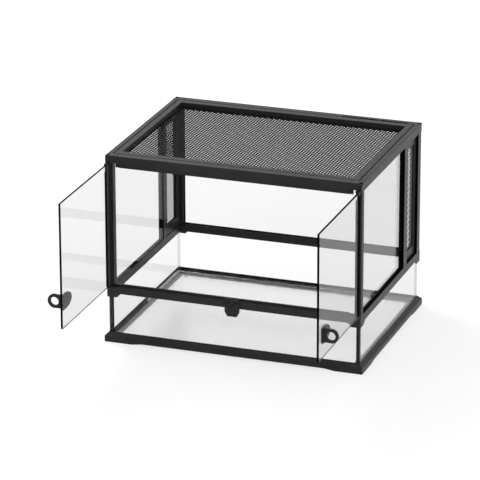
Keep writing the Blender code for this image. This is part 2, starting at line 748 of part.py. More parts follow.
def posts(build):
    """Four corner posts and two side posts, each bored at both ends for the frame's pegs."""
    low = WAIST_TOP + FIT
    side_peg = HALF_X - SIDE_PEG_IN
    middle = MID_POST_Y + MID_POST_W / 2
    kinds = (("front", front_post_outline(), CORNER_BOTTOM - FIT, FRONT_PEG_X, -FRONT_PEG_Y),
             ("rear", rear_post_outline(), RAIL_BOTTOM - FIT, REAR_PEG_X, REAR_PEG_Y),
             ("side", mid_post_outline(), RAIL_BOTTOM - FIT, side_peg, middle))
    for side, word in ((-1, "left"), (1, "right")):
        for kind, outline, high, x, y in kinds:
            obj = post(build, f"{kind}_{word}_post", outline, low, high, side)
            reach = PEG_L + FIT
            for z0, z1 in ((low - 1, low + reach), (high - reach, high + 1)):
                build.cut_box(obj, *around(side * x, y, PEG + 2 * FIT, z0, z1))


def upper_panes(build):
    """The rear pane, the two side panes and the two mesh vents behind them."""
    low = WAIST_TOP - GROOVE + FIT
    high = RAIL_BOTTOM + GROOVE - FIT
    web = (MID_POST_W - MID_POST_WEB) / 2
    front = -HALF_Y + FRAME_W - POST_WEB + FIT
    back = MID_POST_Y + web - FIT
    end = HALF_X - FRAME_W - FIT
    pane(build, "rear_glass", (-end, PANE_Y - GLASS, low), (end, PANE_Y, high))
    for side, word in ((-1, "left"), (1, "right")):
        xs = sorted((side * PANE_X, side * (PANE_X - GLASS)))
        pane(build, f"side_{word}_glass", (xs[0], front, low), (xs[1], back, high))
        vent(build, word, side, low, high)


def vent(build, word, side, low, high):
    """A mesh vent: a flat frame with a net held in a groove."""
    web = (MID_POST_W - MID_POST_WEB) / 2
    y0 = MID_POST_Y + MID_POST_W - web + FIT
    y1 = HALF_Y - FRAME_W - FIT
    xs = sorted((side * PANE_X, side * (PANE_X - GLASS)))
    name = f"vent_{word}_frame"
    frame = build.piece(name, box_mesh(name, (xs[0], y0, low), (xs[1], y1, high)), FRAME_BLACK)
    ya = y0 + VENT_FRONT_STILE
    yb = y1 - VENT_REAR_STILE
    za = low + VENT_BOTTOM
    zb = high - VENT_TOP
    build.cut_box(frame, (xs[0] - 1, ya, za), (xs[1] + 1, yb, zb))
    middle = side * (PANE_X - VENT_MESH_IN)
    t = MESH_T / 2
    e = MESH_EDGE
    build.cut_box(frame, (middle - t - FIT, ya - e - FIT, za - e - FIT),
                  (middle + t + FIT, yb + e + FIT, zb + e + FIT))
    net = net_mesh(f"vent_{word}_mesh", yb - ya + 2 * e, zb - za + 2 * e, VENT_CELLS, VENT_WIRE_W)
    net.transform(ALONG_X)
    net.transform(Matrix.Translation((middle * MM, (ya + yb) / 2 * MM, (za + zb) / 2 * MM)))
    add_thickness(build.piece(f"vent_{word}_mesh", net, MESH_STEEL))


def net_mesh(name, width, depth, cells, wire):
    """A flat net in X and Y: a grid whose cells are inset and opened."""
    bm = bmesh.new()
    bmesh.ops.create_grid(bm, x_segments=cells[0], y_segments=cells[1], size=0.5)
    bmesh.ops.scale(bm, vec=(width * MM, depth * MM, 1), verts=bm.verts)
    inset = bmesh.ops.inset_individual(bm, faces=bm.faces, thickness=wire / 2 * MM)
    rims = set(inset["faces"])
    bmesh.ops.delete(bm, geom=[f for f in bm.faces if f not in rims], context="FACES")
    mesh = bpy.data.meshes.new(name)
    bm.to_mesh(mesh)
    bm.free()
    return mesh


def add_thickness(obj):
    solid = obj.modifiers.new("thickness", "SOLIDIFY")
    solid.thickness = MESH_T * MM
    solid.offset = 0.0
    solid.use_even_offset = True


def top_rails(build):
    """The top frame's rails: a ledge carries the lid, grooves below take the panes."""
    groove_top = RAIL_BOTTOM + GROOVE
    inner = GLASS + 2 * FIT
    half_x = HALF_X - TOP_LEG - FIT
    half_y = HALF_Y - TOP_LEG - FIT
    y0 = HALF_Y
    seat = HALF_Y - TOP_END_W
    ledge = seat - LID_LEDGE_W
    lip0 = DOOR_FACE - GLASS - FIT
    lip1 = lip0 - STOP_LIP_T
    lip_low = FRONT_BOTTOM - DOOR_LIP_H
    rim = [(y0, HEIGHT), (seat, HEIGHT), (seat, LEDGE_Z), (ledge, LEDGE_Z)]
    head = [(y0, FRONT_BOTTOM)] + rim + [(ledge, FRONT_BOTTOM), (lip1, FRONT_BOTTOM), (lip1, lip_low),
                                         (lip0, lip_low), (lip0, FRONT_BOTTOM)]
    front = rail_x(build, "top_front_rail", mirror_points(head, -1), half_x)
    strip_in = DOOR_EDGE - STRIP_W - 2 * FIT
    for sx in (-1, 1):
        build.cut_box(front, (sx * strip_in, -HALF_Y - 1, lip_low - 1), (sx * HALF_X, 1 - lip1, FRONT_BOTTOM))
        hinge_pocket(build, front, sx, strip_in, FRONT_BOTTOM - 1, ARM_TOP + FIT)
    g0 = PANE_Y + FIT
    groove = [(g0 - inner, RAIL_BOTTOM), (g0 - inner, groove_top), (g0, groove_top), (g0, RAIL_BOTTOM)]
    tail = [(y0, RAIL_BOTTOM)] + rim + [(ledge, RAIL_BOTTOM)] + groove
    rear = rail_x(build, "top_rear_rail", tail, half_x)
    cable_slots(build, rear, g0 - inner)
    for rail, way in ((front, -1), (rear, 1)):
        mortises(build, rail, True, half_x, way * (HALF_Y - TOP_TONGUE_IN_Y), TOP_TONGUE_Z)
    x0 = HALF_X
    seat = HALF_X - TOP_SIDE_W
    ledge = seat - LID_LEDGE_W
    g0 = PANE_X + FIT
    side = [(x0, RAIL_BOTTOM), (x0, HEIGHT), (seat, HEIGHT), (seat, LEDGE_Z), (ledge, LEDGE_Z),
            (ledge, RAIL_BOTTOM), (g0 - inner, RAIL_BOTTOM), (g0 - inner, groove_top), (g0, groove_top),
            (g0, RAIL_BOTTOM)]
    for name, way in (("top_left_rail", -1), ("top_right_rail", 1)):
        rail = rail_y(build, name, mirror_points(side, way), half_y)
        mortises(build, rail, False, half_y, way * (HALF_X - TOP_TONGUE_IN_X), TOP_TONGUE_Z)
        peg(build, rail, way * (HALF_X - SIDE_PEG_IN), MID_POST_Y + MID_POST_W / 2, RAIL_BOTTOM, -1)


def cable_slots(build, rear, groove_front):
    """Two slots down through the rear top rail, in front of its pane groove, for cables."""
    s0 = SLOT_Y - SLOT_W / 2
    s1 = SLOT_Y + SLOT_W / 2
    groove_top = RAIL_BOTTOM + GROOVE
    right = HALF_X - SLOT_FROM_RIGHT
    for length in (SHORT_SLOT_L, LONG_SLOT_L):
        left = right - length
        build.cut_box(rear, (left, s0, groove_top + 2 * FIT), (right, s1, HEIGHT + 1))
        build.cut_box(rear, (left, s0, RAIL_BOTTOM - 1), (right, groove_front - SLOT_SKIN, groove_top + 1))
        right = left - SLOT_BRIDGE


def top_block(build, name, sx, sy):
    """A corner of the top frame with its stacking pocket, lid seat and pane grooves."""
    low = CORNER_BOTTOM if sy < 0 else RAIL_BOTTOM
    ix = HALF_X - TOP_LEG
    iy = HALF_Y - TOP_LEG
    obj = build.piece(name, box_mesh(name, *ordered((sx * ix, sy * iy, low),
                                                    (sx * HALF_X, sy * HALF_Y, HEIGHT))), FRAME_BLACK)
    seat_x = HALF_X - TOP_SIDE_W
    seat_y = HALF_Y - TOP_END_W
    build.cut_box(obj, (sx * (ix - 1), sy * (iy - 1), LEDGE_Z), (sx * seat_x, sy * seat_y, HEIGHT + 1))
    build.cut_box(obj, (sx * (ix - 2), sy * (iy - 2), low - 1),
                  (sx * (seat_x - LID_LEDGE_W), sy * (seat_y - LID_LEDGE_W), HEIGHT + 2))
    inner = GLASS + 2 * FIT
    groove_top = RAIL_BOTTOM + GROOVE
    pane_x = PANE_X + FIT
    stop_y = HALF_Y - FRAME_W + (POST_WEB if sy < 0 else 0)
    build.cut_box(obj, (sx * (pane_x - inner), sy * (iy - 2), low - 1),
                  (sx * pane_x, sy * stop_y, groove_top))
    if sy > 0:
        pane_y = PANE_Y + FIT
        build.cut_box(obj, (sx * (ix - 2), pane_y - inner, low - 1),
                      (sx * (HALF_X - FRAME_W), pane_y, groove_top))
        peg(build, obj, sx * REAR_PEG_X, REAR_PEG_Y, low, -1)
    else:
        hinge_pocket(build, obj, sx, ix - 1, low - 1, ARM_TOP + FIT)
        build.cut_pin(obj, sx * AXIS_X, -AXIS_Y, low - 1, PIN_R + FIT, PIN_L + PIN_ROOM + 1)
        peg(build, obj, sx * FRONT_PEG_X, -FRONT_PEG_Y, low, -1)
    px = HALF_X - POCKET_X
    py = HALF_Y - POCKET_IN
    build.cut_box(obj, (sx * px, sy * (py - POCKET_Y), HEIGHT - POCKET_DEPTH),
                  (sx * (HALF_X + 1), sy * py, HEIGHT + 1))
    tongues(build, obj, sx, sy, TOP_LEG, TOP_TONGUE_IN_X, TOP_TONGUE_IN_Y, TOP_TONGUE_Z)
    return obj


def corner_blocks(build):
    for sy, end in ((-1, "front"), (1, "rear")):
        for sx, word in ((-1, "left"), (1, "right")):
            waist_block(build, f"waist_{end}_{word}_corner", sx, sy)
            top_block(build, f"top_{end}_{word}_corner", sx, sy)


def screen_lid(build, parent):
    """The lift-out lid: a moulded frame with a steel net held in its groove."""
    low = LEDGE_Z + FIT
    frame = build.piece("lid_frame", box_mesh("lid_frame", (-LID_X, -LID_Y, low), (LID_X, LID_Y, HEIGHT)),
                        FRAME_BLACK, parent)
    ox = LID_X - LID_SIDE_W
    oy = LID_Y - LID_END_W
    build.cut_box(frame, (-ox, -oy, low - 1), (ox, oy, HEIGHT + 1))
    t = MESH_T / 2 + FIT
    e = MESH_EDGE + FIT
    build.cut_box(frame, (-ox - e, -oy - e, MESH_Z - t), (ox + e, oy + e, MESH_Z + t))
    half = LID_NOTCH_L / 2
    for sx in (-1, 1):
        for sy in (-1, 1):
            y = sy * (LID_Y - LID_NOTCH_IN)
            build.cut_box(frame, (sx * (LID_X - LID_NOTCH_W), y - half, HEIGHT - LID_NOTCH_D),
                          (sx * (LID_X + 1), y + half, HEIGHT + 1))
    net = net_mesh("lid_mesh", 2 * (ox + MESH_EDGE), 2 * (oy + MESH_EDGE), LID_CELLS, LID_WIRE_W)
    net.transform(Matrix.Translation((0, 0, MESH_Z * MM)))
    add_thickness(build.piece("lid_mesh", net, MESH_STEEL, parent))


def hinge_strip(build, word, side, parent):
    """The black channel on a door's hinge edge, with the two arms that carry the pins' holes."""
    e0 = DOOR_EDGE
    e1 = DOOR_EDGE - STRIP_W
    f0 = -STRIP_FRONT
    f1 = -STRIP_BACK
    wall = STRIP_WALL
    channel = [(e0, f0), (e0, f1), (e1, f1), (e1, f1 - wall), (e0 - wall, f1 - wall), (e0 - wall, f0 + wall),
               (e1, f0 + wall), (e1, f0)]
    low = DOOR_BOTTOM - ARM_LIFT
    high = DOOR_TOP + FIT
    name = f"{word}_hinge_strip"
    mesh = outline_mesh(name, mirror_points(channel, side), high - low)
    mesh.transform(Matrix.Translation((-side * AXIS_X * MM, AXIS_Y * MM, low * MM)))
    obj = build.piece(name, mesh, FRAME_BLACK, parent)
    root = side * (e0 - AXIS_X)
    tip = side * (e0 - CAP_L - AXIS_X)
    arm = side * (e0 - CAP_L / 2 - AXIS_X)
    overlap = FIT / 2
    for cap0, cap1, arm0 in ((high - overlap, ARM_TOP, ARM_TOP - ARM_T),
                             (ARM_BOTTOM, low + overlap, ARM_BOTTOM)):
        build.cut_box(obj, (root, f0 + AXIS_Y, cap0), (tip, f1 + AXIS_Y, cap1), "UNION")
        build.cut_box(obj, (0, -ARM_R, arm0), (arm, ARM_R, arm0 + ARM_T), "UNION")
        build.cut_pin(obj, 0, 0, arm0, ARM_R, ARM_T, "UNION")
        build.cut_pin(obj, 0, 0, arm0 - 1, PIN_R + FIT, ARM_T + 2)
    return obj


def handle_plate_outline(side, shrink=0.0):
    """The handle's base: straight beside the door's free edge, a lobe towards the hinge."""
    half = PLATE_HALF_H - shrink
    back = -PLATE_BACK + shrink
    corner = PLATE_CORNER
    lobe = arc(PLATE_STRAIGHT, 0, PLATE_LOBE - shrink, half, -90, 90, 12)
    heel = [(back + corner, half), (back, half - corner), (back, corner - half), (back + corner, -half)]
    return mirror_points(lobe + heel, side)


def door_handle(build, word, side, parent):
    """A pull ring that stands square to the glass on a lobed plate, bonded by a thin pad."""
    middle = side * (HANDLE_IN + DOOR_MEET - AXIS_X)
    face = AXIS_Y - DOOR_FACE
    name = f"{word}_handle_pad"
    pad = outline_mesh(name, handle_plate_outline(side, PAD_INSET), PAD_T)
    pad.transform(ALONG_Y)
    pad.transform(Matrix.Translation((middle * MM, (face - FIT) * MM, HANDLE_Z * MM)))
    build.piece(name, pad, SEALANT, parent)
    back = face - 2 * FIT - PAD_T
    name = f"{word}_handle"
    plate = outline_mesh(name, handle_plate_outline(side), PLATE_T)
    chamfer_far_rim(plate, PLATE_CHAMFER)
    plate.transform(ALONG_Y)
    plate.transform(Matrix.Translation((middle * MM, back * MM, HANDLE_Z * MM)))
    obj = build.piece(name, plate, FRAME_BLACK, parent)
    ring_y = face - RING_OUT
    web_z = RING_R - RING_CHAMFER
    web = box_mesh("web", (middle - RING_T / 2, ring_y, HANDLE_Z - web_z),
                   (middle + RING_T / 2, back - PLATE_T / 2, HANDLE_Z + web_z))
    build.cut(obj, web, "UNION")
    turn = Matrix.Rotation(math.pi / 2, 4, "Y")
    turn.translation = (middle * MM, ring_y * MM, HANDLE_Z * MM)
    disc = cylinder_mesh("ring", RING_R, RING_T, 36, RING_CHAMFER)
    disc.transform(turn @ Matrix.Translation((0, 0, -RING_T / 2 * MM)))
    build.cut(obj, disc, "UNION")
    hole = cylinder_mesh("hole", RING_HOLE_R, RING_T + 2, 28)
    hole.transform(turn @ Matrix.Translation((0, 0, -(RING_T / 2 + 1) * MM)))
    build.cut(obj, hole)


def door(build, word, side):
    """A door drawn closed about its hinge axis, then swung open with its parent."""
    pivot = bpy.data.objects.new(f"{word}_door_axis", None)
    build.parts.objects.link(pivot)
    pivot.parent = build.root
    pivot.location = (side * AXIS_X * MM, -AXIS_Y * MM, 0)
    pivot.rotation_euler = Euler((0, 0, math.radians(DOOR_OPEN) * side))
    outer = side * (DOOR_EDGE - STRIP_WALL - FIT - AXIS_X)
    inner = side * (DOOR_MEET - AXIS_X)
    face = AXIS_Y - DOOR_FACE
    xs = sorted((outer, inner))
    pane(build, f"{word}_door_glass", (xs[0], face, DOOR_BOTTOM), (xs[1], face + GLASS, DOOR_TOP),
         CLEAR_GLASS, pivot)
    hinge_strip(build, word, side, pivot)
    door_handle(build, word, side, pivot)
    for place, z in (("top", CORNER_BOTTOM + FIT), ("bottom", WAIST_TOP - FIT - PIN_L)):
        name = f"{word}_{place}_pin"
        mesh = cylinder_mesh(name, PIN_R, PIN_L, 16)
        mesh.transform(Matrix.Translation((side * AXIS_X * MM, -AXIS_Y * MM, z * MM)))
        build.piece(name, mesh, PIN_STEEL)


def latch(build):
    """The push-down latch: a guide on the waist rail and a key that slides in it."""
    face = -HALF_Y - FIT
    front = face - LATCH_T
    half = LATCH_W / 2
    name = "latch_guide"
    body = build.piece(name, box_mesh(name, (-half, front, LATCH_LOW), (half, face, LATCH_TOP)), FRAME_BLACK)
    pack = half - LATCH_PACK_IN
    build.cut_box(body, (-pack, face - 1, LATCH_LOW), (pack, -TRAY_Y - 2 * FIT, WAIST_Z - FIT), "UNION")
    for side in (-1, 1):
        points = [(side * (half + 1), LATCH_LOW - 1), (side * (half + 1), LATCH_LOW + LATCH_CUT_Z),
                  (side * half, LATCH_LOW + LATCH_CUT_Z), (side * (half - LATCH_CUT_X), LATCH_LOW),
                  (side * (half - LATCH_CUT_X), LATCH_LOW - 1)]
        wedge = outline_mesh("wedge", points, 4 * LATCH_T)
        wedge.transform(ALONG_Y)
        wedge.transform(Matrix.Translation((0, (face + 2 * LATCH_T) * MM, 0)))
        build.cut(body, wedge)
    key = LATCH_KEY_W / 2
    flange = LATCH_FLANGE_W / 2
    slot = face - LATCH_FLANGE_T - 2 * FIT
    build.cut_box(body, (-key - FIT, front - 1, LATCH_LOW - 1), (key + FIT, face, LATCH_TOP + 1))
    build.cut_box(body, (-flange - FIT, slot, LATCH_LOW - 2), (flange + FIT, face + HAIR, LATCH_TOP + 2))
    back = face - FIT
    shoulder = LATCH_KEY_TOP - key
    shape = arc(0, shoulder, key, key, 0, 180, 12) + [(-key, LATCH_LOW + FIT), (key, LATCH_LOW + FIT)]
    name = "latch_key"
    mesh = outline_mesh(name, shape, LATCH_T + FIT)
    chamfer_far_rim(mesh, LATCH_BEVEL)
    mesh.transform(ALONG_Y)
    mesh.transform(Matrix.Translation((0, back * MM, 0)))
    slider = build.piece(name, mesh, FRAME_BLACK)
    build.cut_box(slider, (-flange, back - LATCH_FLANGE_T, LATCH_LOW + 1), (flange, back, shoulder), "UNION")
    stem = LATCH_STEM_W / 2
    head = LATCH_HEAD_W / 2
    head_front = front + FIT
    head_top = LATCH_HEAD_Z + LATCH_HEAD_H
    build.cut_box(slider, (-stem, head_front + 1, shoulder), (stem, back, LATCH_HEAD_Z + 1), "UNION")
    build.cut_box(slider, (-head, head_front, LATCH_HEAD_Z), (head, back, head_top), "UNION")
    for side in (-1, 1):
        bump = cylinder_mesh("bump", LATCH_BUMP_R, LATCH_BUMP_OUT + 1, 12, LATCH_BUMP_OUT)
        bump.transform(ALONG_Y)
        middle = (side * LATCH_BUMP_X * MM, (head_front + 1) * MM, (LATCH_HEAD_Z + LATCH_HEAD_H / 2) * MM)
        bump.transform(Matrix.Translation(middle))
        build.cut(slider, bump, "UNION")


def main():
    clear_scene()
    build = Builder()
    base_frame(build)
    tray(build)
    waist_rails(build)
    corner_blocks(build)
    posts(build)
    upper_panes(build)
    top_rails(build)
    lid = bpy.data.objects.new("lid_lift", None)
    build.parts.objects.link(lid)
    lid.parent = build.root
    screen_lid(build, lid)
    door(build, "left", -1)
    door(build, "right", 1)
    latch(build)


main()
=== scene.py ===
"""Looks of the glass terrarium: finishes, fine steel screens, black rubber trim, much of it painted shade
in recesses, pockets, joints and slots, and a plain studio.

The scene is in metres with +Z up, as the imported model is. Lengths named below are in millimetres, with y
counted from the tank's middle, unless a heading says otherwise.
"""
import math

import bmesh
import bpy
from mathutils import Matrix, Vector

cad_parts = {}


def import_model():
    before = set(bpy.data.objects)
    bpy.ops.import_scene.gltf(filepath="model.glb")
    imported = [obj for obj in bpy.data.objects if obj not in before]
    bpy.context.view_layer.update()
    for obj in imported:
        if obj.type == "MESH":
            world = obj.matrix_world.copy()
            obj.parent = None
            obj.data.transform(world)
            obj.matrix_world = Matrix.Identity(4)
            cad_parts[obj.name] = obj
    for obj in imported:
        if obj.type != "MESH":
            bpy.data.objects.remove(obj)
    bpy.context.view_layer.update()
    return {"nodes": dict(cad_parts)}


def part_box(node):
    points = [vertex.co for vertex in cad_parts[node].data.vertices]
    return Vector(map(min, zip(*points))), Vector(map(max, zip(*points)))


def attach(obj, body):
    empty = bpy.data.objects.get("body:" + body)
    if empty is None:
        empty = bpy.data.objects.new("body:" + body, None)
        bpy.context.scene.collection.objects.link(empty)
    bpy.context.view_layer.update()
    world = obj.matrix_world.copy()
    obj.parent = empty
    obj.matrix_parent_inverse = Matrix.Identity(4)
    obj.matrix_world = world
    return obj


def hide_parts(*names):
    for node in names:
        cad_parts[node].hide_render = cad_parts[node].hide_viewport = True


MM = 0.001
TANK_MIDDLE_Y = 139.95
SIDES = ((-1, "left"), (1, "right"))
WHITE = (1.0, 1.0, 1.0, 1.0)

# The photograph's camera: angles in degrees, distance, target and reach in metres
AZIMUTH = 19.486
ELEVATION = 20.112
ROLL = -0.122
DISTANCE = 7.9601
TARGET = (-0.06101, 0.13812, 0.1948)
REACH = 100.0
SENSOR = 36.0
LENS = 261.17

# Studio: metres, watts and strengths; the floor's glowing patch of painted light under the tank is in
# millimetres
AMBIENT = 0.75
LAMP_PLACE = (-1.6, 1.2, 2.4)
LAMP_AIM = (0.0, 0.1, 0.2)
LAMP_SIZE = 1.6
LAMP_POWER = 40.0
FLOOR_SIZE = 40.0
FLOOR_DROP = 0.0002
FLOOR_SEEN = (0.39, 0.39, 0.39, 1.0)
FLOOR_GLOW = 0.69
PAINTED_LIGHT_GLOW = 0.22
PAINTED_LIGHT_HALF = (290.0, 215.0)

# Glass: the faces throw back little of the white studio, and a tint is what one pane lets through; the
# rear, side, tray and door tints are darker copies of the clear tint, painted shade
GLASS_IOR = 1.17
PEBBLED_IOR = 1.5
FAINTER = 0.992
CLEAR_TINT = (0.945, 0.947, 0.946, 1.0)
REAR_SHADED_TINT = (0.83, 0.832, 0.831, 1.0)
SIDE_SHADED_TINT = (0.772, 0.774, 0.773, 1.0)
TRAY_SHADED_TINT = (0.85, 0.852, 0.851, 1.0)
DOOR_SHADED_TINT = (0.80, 0.801, 0.80, 1.0)
DOOR_SHADED_FAINT = (0.793, 0.794, 0.793, 1.0)
PEBBLE_TINT = (0.93, 0.93, 0.93, 1.0)
PEBBLE_CLEAR = (0.98, 0.98, 0.98, 1.0)
# Specular tint that dims the door glass's edges, part of their painted shade
SHADED_EDGE_SHINE = (0.1, 0.1, 0.1, 1.0)

# Other finishes
PLASTIC_IOR = 1.2
SEALANT_IOR = 1.3
RUBBER_IOR = 1.06
LID_STEEL_IOR = 1.15
VENT_STEEL_IOR = 1.2

# Perforated steel screens: the smallest face kept is in square metres
HOLE_PITCH_LONG = 13.736
HOLE_PITCH_SHORT = 9.794
LID_HOLES = {"phase": (2.42, -4.50), "strand": 3.8, "thick": 0.8}
VENT_HOLES = {"phase": (0.0, 0.0), "strand": 3.1, "thick": 0.4}
SMALLEST_FACE = 1e-10

# Rounding of moulded edges: metres for the weld, radians for the angles
WELD = 0.00001
FLAT_ANGLE = 0.01
SHARP_ANGLE = 1.0
SHORT_EDGE = 6.0
EDGE_ROUND = 1.3
TOP_NODES = ("top_front_rail", "top_rear_rail", "top_left_rail", "top_right_rail", "top_front_left_corner",
             "top_front_right_corner", "top_rear_left_corner", "top_rear_right_corner")

# Black rubber strips of painted shade in the frame's recesses, on the outer side of the panes
WAIST_TOP = 135.3
RAIL_BOTTOM = 424.8
SHADE_STRIP_X = 295.65
SHADE_STRIP_Y = 221.95
SHADE_STRIP_W = 8.1
SHADE_STRIP_T = 0.4
SIDE_BAY = (-209.3, 97.4)
VENT_BAY = (121.2, 202.9)
REAR_BAY = 278.0
STRIP_PROFILE = ((-0.5, 0.0), (-0.5, 0.55), (-0.42, 1.0), (0.42, 1.0), (0.5, 0.55), (0.5, 0.0))

# Black rubber strip of painted shade in the joint between the lid and the top frame
JOINT_SHADE_X = 287.0
JOINT_SHADE_Y = 207.0
JOINT_SHADE_Z = 444.0
JOINT_SHADE_W = 3.0
JOINT_SHADE_T = 1.15

# Cable slots in the rear top rail
SLOT_Y = 211.5
SLOT_W = 5.2
SLOT_NEAR = 0.3
SLOTS = (("long", 114.2, 200.2), ("short", 205.5, 271.5))
# Black linings of painted shade on the slots' walls
SLOT_SHADE_LOW = 430.0
SLOT_SHADE_HIGH = 445.15
SLOT_SHADE_T = 0.3

# Outer plates of the vents
PLATE_X = (291.1, 294.0)
PLATE_Y = (121.8, 202.3)
PLATE_Z = (136.0, 424.1)
PLATE_WINDOW_Y = (124.6, 188.0)
PLATE_WINDOW_Z = (158.8, 406.3)
PLATE_ROUND = 0.3

# Small rounded blocks: spans of x, y and z on the right, and the rounding of their edges
STOP_END = ((269.8, 278.0), (-219.7, -216.3), (416.7, 425.9))
STOP_ROUND = 0.3
# Black pads of painted shade in the stacking pockets and the lid's notches
STACKING_POCKET_SHADE = ((291.3, 299.7), (217.6, 224.0), (441.3, 444.7))
LID_NOTCH_SHADE = ((284.4, 286.6), (178.3, 183.7), (441.5, 444.9))
POCKET_SHADE_ROUND = 0.4
INNER_TAPE = ((291.08, 291.34), (-253.0, -241.5), (141.0, 415.0))
OUTER_SEAL = ((297.45, 297.75), (-241.0, -228.5), (139.0, 422.0))
TAPE_ROUND = 0.1

# CAD nodes that take another finish than the black plastic, by name or by ending
LOOK_OF_NODE = {
    "floor_glass": "floor_glass",
    "side_left_glass": "side_glass",
    "side_right_glass": "side_glass",
    "tray_left_glass": "tray_glass",
    "tray_right_glass": "tray_glass",
    "rear_glass": "rear_glass",
}
LOOK_OF_ENDING = (
    ("door_glass", "door_glass"),
    ("glass", "glass"),
    ("_pad", "sealant"),
    ("sealant", "sealant"),
    ("_pin", "pin"),
    ("_mesh", "screen"),
)


def grey(level):
    """A linear colour from a display level from 0 to 255."""
    v = level / 255
    light = v / 12.92 if v <= 0.04045 else ((v + 0.055) / 1.055) ** 2.4
    return (light, light, light, 1.0)


class Nodes:
    """Adds and links nodes in one tree."""

    def __init__(self, tree):
        self.tree = tree

    def add(self, kind, **values):
        """A new node, with its properties and sockets set by name."""
        node = self.tree.nodes.new(kind)
        for key, value in values.items():
            if hasattr(node, key):
                setattr(node, key, value)
            else:
                node.inputs[key.replace("_", " ")].default_value = value
        return node

    def link(self, source, target):
        self.tree.links.new(source, target)

    def calc(self, operation, *values):
        """A number worked out from sockets and plain numbers."""
        node = self.add("ShaderNodeMath", operation=operation)
        for socket, value in zip(node.inputs, values):
            if isinstance(value, float):
                socket.default_value = value
            else:
                self.link(value, socket)
        return node.outputs[0]

    def axes(self, word):
        """The three parts of a texture coordinate."""
        node = self.add("ShaderNodeSeparateXYZ")
        self.link(self.add("ShaderNodeTexCoord").outputs[word], node.inputs[0])
        return node.outputs

    def seen(self):
        """One for what the camera sees, in gloss and through glass too, and nought for light."""
        path = self.add("ShaderNodeLightPath").outputs
        near = self.calc("MAXIMUM", path["Is Camera Ray"], path["Is Glossy Ray"])
        return self.calc("MAXIMUM", near, path["Is Transmission Ray"])


class Look(Nodes):
    """Builds one material."""

    def __init__(self, name):
        self.material = bpy.data.materials.new(name)
        self.material.use_nodes = True
        super().__init__(self.material.node_tree)
        self.shader = self.tree.nodes["Principled BSDF"]

    def set(self, **values):
        """Sets sockets of the shader that are the same all over."""
        for key, value in values.items():
            self.shader.inputs[key.replace("_", " ")].default_value = value

    def feed(self, source, socket):
        """Links a value that varies to a socket of the shader."""
        self.link(source, self.shader.inputs[socket])

    def noise(self, scale, detail=2.0, stretch=(1, 1, 1)):
        """Noise in object space, in cycles a metre."""
        mapping = self.add("ShaderNodeMapping")
        mapping.inputs["Scale"].default_value = stretch
        self.link(self.add("ShaderNodeTexCoord").outputs["Object"], mapping.inputs["Vector"])
        noise = self.add("ShaderNodeTexNoise", Scale=scale, Detail=detail)
        self.link(mapping.outputs["Vector"], noise.inputs["Vector"])
        return noise.outputs["Fac"]

    def span(self, source, low, high, start=0.3, stop=0.7):
        """Maps a value from start to stop to a value from low to high."""
        node = self.add("ShaderNodeMapRange")
        for key, value in (("From Min", start), ("From Max", stop), ("To Min", low), ("To Max", high)):
            node.inputs[key].default_value = value
        self.link(source, node.inputs["Value"])
        return node.outputs["Result"]

    def blend(self, factor, a, b):
        """A colour between two colours."""
        node = self.add("ShaderNodeMix", data_type="RGBA")
        for socket, colour in ((node.inputs[6], a), (node.inputs[7], b)):
            if isinstance(colour, tuple):
                socket.default_value = colour
            else:
                self.link(colour, socket)
        self.link(factor, node.inputs[0])
        return node.outputs[2]

    def bump(self, height, strength, distance):
        """Relief from a height, with its full depth in metres."""
        node = self.add("ShaderNodeBump", Strength=strength, Distance=distance)
        self.link(height, node.inputs["Height"])
        self.feed(node.outputs["Normal"], "Normal")


def moulded_plastic(name, dark, light):
    """Black moulded plastic: satin, with a very fine grain and faint flow marks."""
    n = Look(name)
    flow = n.noise(scale=14.0, detail=3.0, stretch=(1, 1, 0.4))
    n.feed(n.blend(n.span(flow, low=0.0, high=1.0), dark, light), "Base Color")
    n.feed(n.span(n.noise(scale=60.0, detail=4.0), low=0.30, high=0.38), "Roughness")
    n.bump(n.noise(scale=2600.0, detail=3.0), strength=0.05, distance=0.00003)
    n.set(IOR=PLASTIC_IOR)
    return n.material


def clear_glass(name, tint):
    """Float glass with a barely uneven surface and tint."""
    n = Look(name)
    faint = tuple(c * FAINTER for c in tint[:3]) + (1.0,)
    n.feed(n.blend(n.noise(scale=3.0, detail=1.0), tint, faint), "Base Color")
    n.bump(n.noise(scale=9.0, detail=1.0), strength=0.02, distance=0.0002)
    n.set(IOR=GLASS_IOR, Roughness=0.0, Transmission_Weight=1.0)
    return n.material


def door_glass(name, shaded_ends, lit_lower_edge):
    """Float glass with painted shade on its edges, apart from the lower one, which takes a painted
    highlight.
    """
    n = Look(name)
    across, _, up = n.axes("Normal")
    edge = n.calc("LESS_THAN", n.calc("ABSOLUTE", across), 0.5)
    below = n.calc("LESS_THAN", up, -0.5)
    # Painted shade on the edges and a painted highlight on the lower edge
    edge_shade_and_light = n.blend(below, shaded_ends, lit_lower_edge)
    clear = n.blend(n.noise(scale=3.0, detail=1.0), DOOR_SHADED_TINT, DOOR_SHADED_FAINT)
    n.feed(n.blend(edge, clear, edge_shade_and_light), "Base Color")
    n.feed(n.span(edge, low=1.0, high=0.0, start=0.0, stop=1.0), "Transmission Weight")
    n.feed(n.span(edge, low=0.0, high=1.0, start=0.0, stop=1.0), "Roughness")
    n.feed(n.blend(edge, WHITE, SHADED_EDGE_SHINE), "Specular Tint")
    n.bump(n.noise(scale=9.0, detail=1.0), strength=0.02, distance=0.0002)
    n.set(IOR=GLASS_IOR)
    return n.material


def speckled_glass(name):
    """The tray's floor pane: glass with a fine pebbled underside."""
    n = Look(name)
    speckle = n.noise(scale=420.0, detail=2.0)
    spread = n.span(speckle, low=0.0, high=1.0, start=0.35, stop=0.65)
    n.feed(n.blend(spread, PEBBLE_TINT, PEBBLE_CLEAR), "Base Color")
    n.feed(n.span(speckle, low=0.12, high=0.25, start=0.35, stop=0.65), "Roughness")
    n.bump(speckle, strength=0.15, distance=0.0003)
    n.set(IOR=PEBBLED_IOR, Transmission_Weight=1.0)
    return n.material


